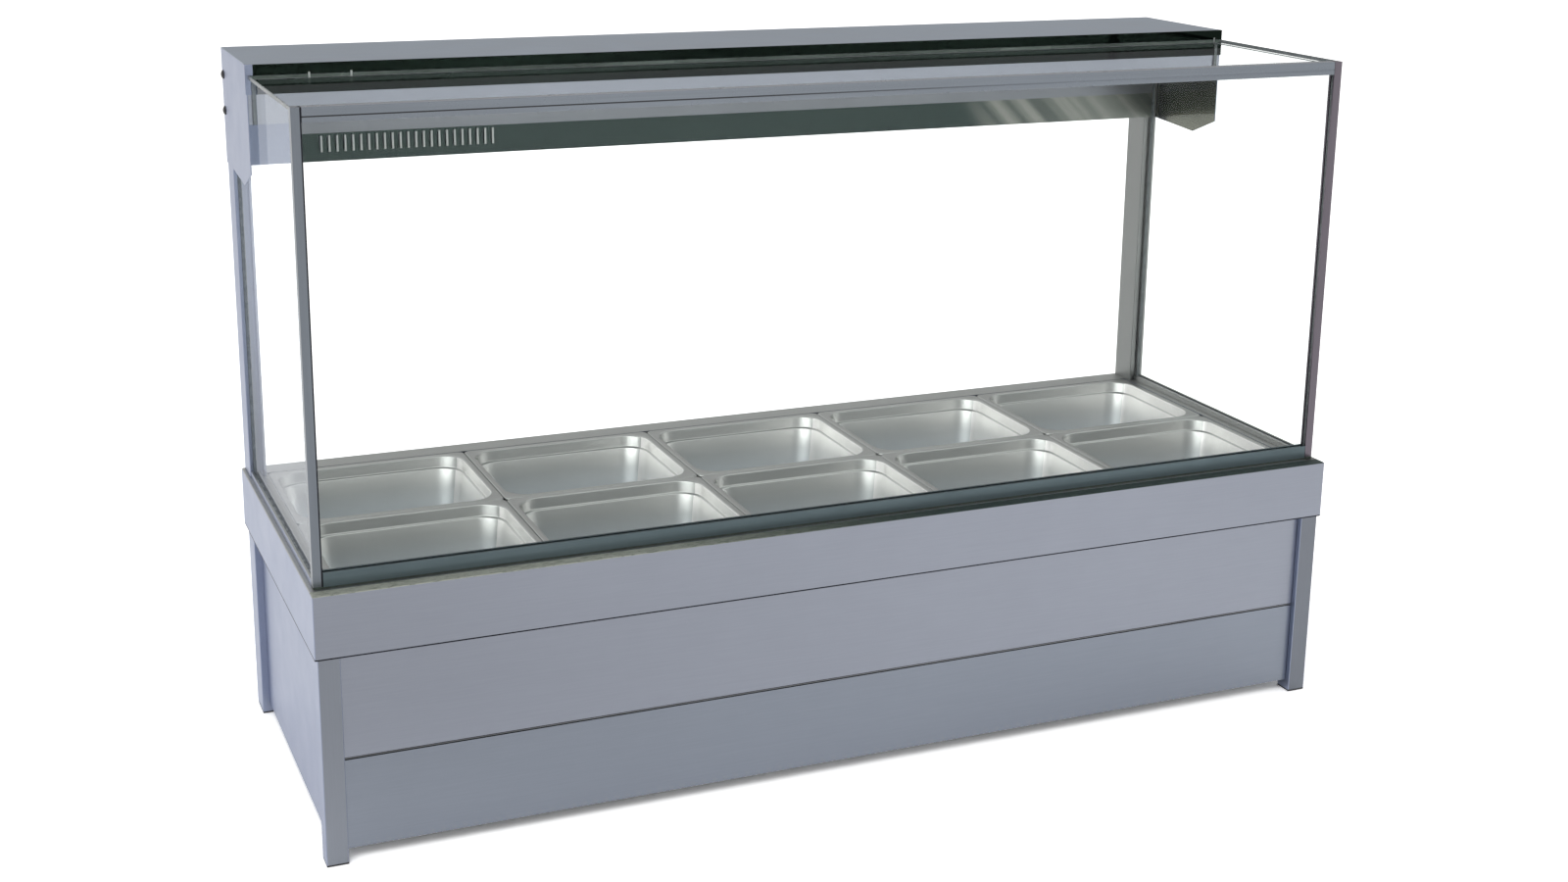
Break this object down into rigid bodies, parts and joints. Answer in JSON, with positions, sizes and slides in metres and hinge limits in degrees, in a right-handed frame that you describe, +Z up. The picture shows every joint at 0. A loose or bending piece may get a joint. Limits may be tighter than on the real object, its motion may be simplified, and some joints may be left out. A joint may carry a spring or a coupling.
{
  "type": "hot food bar",
  "caption": "Counter-top hot food bar with lift-out pans over a heated well, square glass on three sides and top, and a rear-posted hood with heat lamps.",
  "frame": {"origin": "on the floor under the middle of the cabinet", "axes": "+Z up, -Y to the customer's side, +X to the right as the customer sees it"},
  "size_m": [1.694, 0.617, 1.1],
  "materials": {
    "satin_steel": "satin",
    "plain_steel": "mill",
    "drawn_steel": "satin, drawn",
    "clear_glass": "clear, polished edges",
    "satin_aluminium": "satin",
    "slate_channel": "satin slate grey",
    "dark_mirror": "polished, reads dark",
    "vent_grey": "satin grey-green",
    "bright_reflector": "polished",
    "heater_sheath": "heat-darkened",
    "lamp_quartz": "frosted quartz",
    "ceramic": "ceramic white",
    "mineral_wool": "fibrous",
    "black_rubber": "matt",
    "black_plastic": "semi-gloss",
    "green_plastic": "translucent green",
    "red_lens": "translucent red"
  },
  "bodies": {
    "cabinet": {"front_left_leg": "satin_steel", "front_right_leg": "satin_steel", "rear_left_post": "satin_steel", "rear_right_post": "satin_steel", "leg_feet": "black_rubber", "frame_rails": "plain_steel", "front_mid_rail": "plain_steel", "top_band": "satin_steel", "front_upper_panel": "satin_steel", "front_lower_panel": "satin_steel", "left_side_panel": "satin_steel", "right_side_panel": "satin_steel", "rear_control_panel": "satin_steel", "bottom_tray": "plain_steel", "well_tank": "plain_steel", "insulation_slab": "mineral_wool", "heating_elements": "heater_sheath", "element_supports": "plain_steel", "pan_support_rack": "plain_steel", "front_glass": "clear_glass", "left_end_glass": "clear_glass", "right_end_glass": "clear_glass", "top_glass": "clear_glass", "corner_trims": "satin_aluminium", "front_top_rail": "satin_aluminium", "front_glass_channel": "slate_channel", "end_glass_channels": "satin_aluminium", "glass_seals": "black_rubber", "top_glass_ledge": "satin_aluminium", "canopy_top": "satin_steel", "canopy_front_strip": "dark_mirror", "canopy_fascia": "satin_steel", "left_end_plate": "satin_steel", "right_end_plate": "satin_steel", "rear_housing": "satin_steel", "vent_panel": "vent_grey", "lamp_reflector": "bright_reflector", "heat_lamps": "lamp_quartz", "lamp_holders": "ceramic", "end_plate_domes": "black_plastic", "thermostat": "ceramic", "switch_housings": "black_plastic", "indicator_lamp": "red_lens", "terminal_block": "ceramic", "cable_gland": "black_plastic", "panel_screws": "plain_steel"},
    "front_pan_1": {"front_pan_1": "drawn_steel"},
    "front_pan_2": {"front_pan_2": "drawn_steel"},
    "front_pan_3": {"front_pan_3": "drawn_steel"},
    "front_pan_4": {"front_pan_4": "drawn_steel"},
    "front_pan_5": {"front_pan_5": "drawn_steel"},
    "rear_pan_1": {"rear_pan_1": "drawn_steel"},
    "rear_pan_2": {"rear_pan_2": "drawn_steel"},
    "rear_pan_3": {"rear_pan_3": "drawn_steel"},
    "rear_pan_4": {"rear_pan_4": "drawn_steel"},
    "rear_pan_5": {"rear_pan_5": "drawn_steel"},
    "thermostat_knob": {"thermostat_knob": "black_plastic"},
    "power_switch_rocker": {"power_switch_rocker": "green_plastic"},
    "lamp_switch_rocker": {"lamp_switch_rocker": "black_plastic"}
  },
  "joints": [
    {"name": "front_pan_1_lift", "type": "slide", "parent": "cabinet", "child": "front_pan_1", "axis": [0, 0, 1], "range_m": [0, 0.12]},
    {"name": "front_pan_2_lift", "type": "slide", "parent": "cabinet", "child": "front_pan_2", "axis": [0, 0, 1], "range_m": [0, 0.12]},
    {"name": "front_pan_3_lift", "type": "slide", "parent": "cabinet", "child": "front_pan_3", "axis": [0, 0, 1], "range_m": [0, 0.12]},
    {"name": "front_pan_4_lift", "type": "slide", "parent": "cabinet", "child": "front_pan_4", "axis": [0, 0, 1], "range_m": [0, 0.12]},
    {"name": "front_pan_5_lift", "type": "slide", "parent": "cabinet", "child": "front_pan_5", "axis": [0, 0, 1], "range_m": [0, 0.12]},
    {"name": "rear_pan_1_lift", "type": "slide", "parent": "cabinet", "child": "rear_pan_1", "axis": [0, 0, 1], "range_m": [0, 0.12]},
    {"name": "rear_pan_2_lift", "type": "slide", "parent": "cabinet", "child": "rear_pan_2", "axis": [0, 0, 1], "range_m": [0, 0.12]},
    {"name": "rear_pan_3_lift", "type": "slide", "parent": "cabinet", "child": "rear_pan_3", "axis": [0, 0, 1], "range_m": [0, 0.12]},
    {"name": "rear_pan_4_lift", "type": "slide", "parent": "cabinet", "child": "rear_pan_4", "axis": [0, 0, 1], "range_m": [0, 0.12]},
    {"name": "rear_pan_5_lift", "type": "slide", "parent": "cabinet", "child": "rear_pan_5", "axis": [0, 0, 1], "range_m": [0, 0.12]},
    {"name": "thermostat_turn", "type": "hinge", "parent": "cabinet", "child": "thermostat_knob", "pos_m": [-0.632, 0.285, 0.14], "axis": [0, -1, 0], "range_deg": [0, 270]},
    {"name": "power_switch_rock", "type": "hinge", "parent": "cabinet", "child": "power_switch_rocker", "pos_m": [-0.54, 0.2765, 0.14], "axis": [1, 0, 0], "range_deg": [-14, 0]},
    {"name": "lamp_switch_rock", "type": "hinge", "parent": "cabinet", "child": "lamp_switch_rocker", "pos_m": [-0.48, 0.2765, 0.14], "axis": [1, 0, 0], "range_deg": [-14, 0]}
  ]
}
